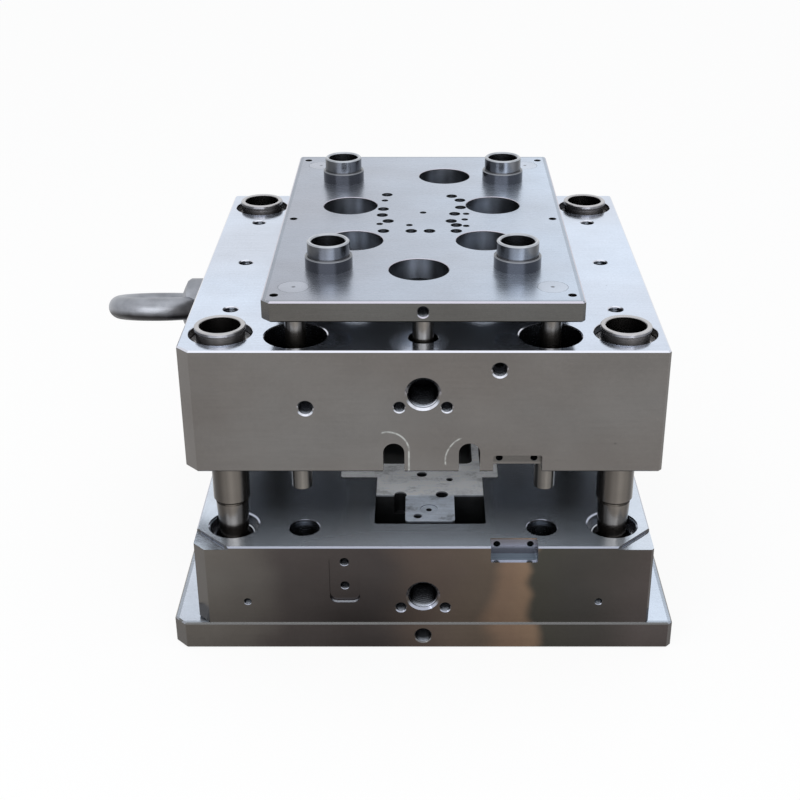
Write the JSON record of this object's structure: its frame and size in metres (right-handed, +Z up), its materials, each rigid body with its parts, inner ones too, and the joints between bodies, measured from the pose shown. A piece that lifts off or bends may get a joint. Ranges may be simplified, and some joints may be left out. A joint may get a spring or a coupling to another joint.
{
  "type": "mould base",
  "caption": "Ground steel mould base standing half open on its clamping plate, with leader pins in the corners, return pins, an ejector plate and a lifting eye.",
  "frame": {"origin": "centre of the clamping plate's lower face", "axes": "+Z up, the way the mould opens; -Y is the front with the latch pocket; +X to the right"},
  "size_m": [0.584, 0.45, 0.403],
  "materials": {
    "clamp_plate_steel": "surface ground",
    "cavity_plate_steel": "surface ground",
    "core_plate_steel": "surface ground",
    "ejector_plate_steel": "surface ground",
    "insert_steel": "milled bright",
    "bush_steel": "ground and polished",
    "pin_steel": "ground and polished",
    "return_pin_steel": "ground",
    "black_screw_steel": "black oxide",
    "forged_steel": "forged, zinc plated"
  },
  "bodies": {
    "fixed_half": {"clamp_plate": "clamp_plate_steel", "cavity_plate": "cavity_plate_steel", "cavity_insert": "insert_steel", "clamp_screws": "black_screw_steel", "cavity_insert_screws": "black_screw_steel", "guide_bush_front_left": "bush_steel", "guide_bush_front_right": "bush_steel", "guide_bush_back_left": "bush_steel", "guide_bush_back_right": "bush_steel"},
    "moving_half": {"core_plate": "core_plate_steel", "core_insert": "insert_steel", "core_insert_screws": "black_screw_steel", "lifting_eye": "forged_steel", "leader_pin_front_left": "pin_steel", "leader_pin_front_right": "pin_steel", "leader_pin_back_left": "pin_steel", "leader_pin_back_right": "pin_steel"},
    "ejector_set": {"ejector_retainer_plate": "ejector_plate_steel", "stop_post_front": "return_pin_steel", "stop_post_back": "return_pin_steel", "return_pin_front_left": "return_pin_steel", "ejector_guide_bush_front_left": "bush_steel", "return_pin_front_right": "return_pin_steel", "ejector_guide_bush_front_right": "bush_steel", "return_pin_back_left": "return_pin_steel", "ejector_guide_bush_back_left": "bush_steel", "return_pin_back_right": "return_pin_steel", "ejector_guide_bush_back_right": "bush_steel"}
  },
  "joints": [
    {"name": "mould_opening", "type": "slide", "parent": "fixed_half", "child": "moving_half", "axis": [0, 0, 1], "range_m": [-0.0838, 0.12]},
    {"name": "ejector_stroke", "type": "slide", "parent": "moving_half", "child": "ejector_set", "axis": [0, 0, 1], "range_m": [-0.0118, 0.035]}
  ]
}
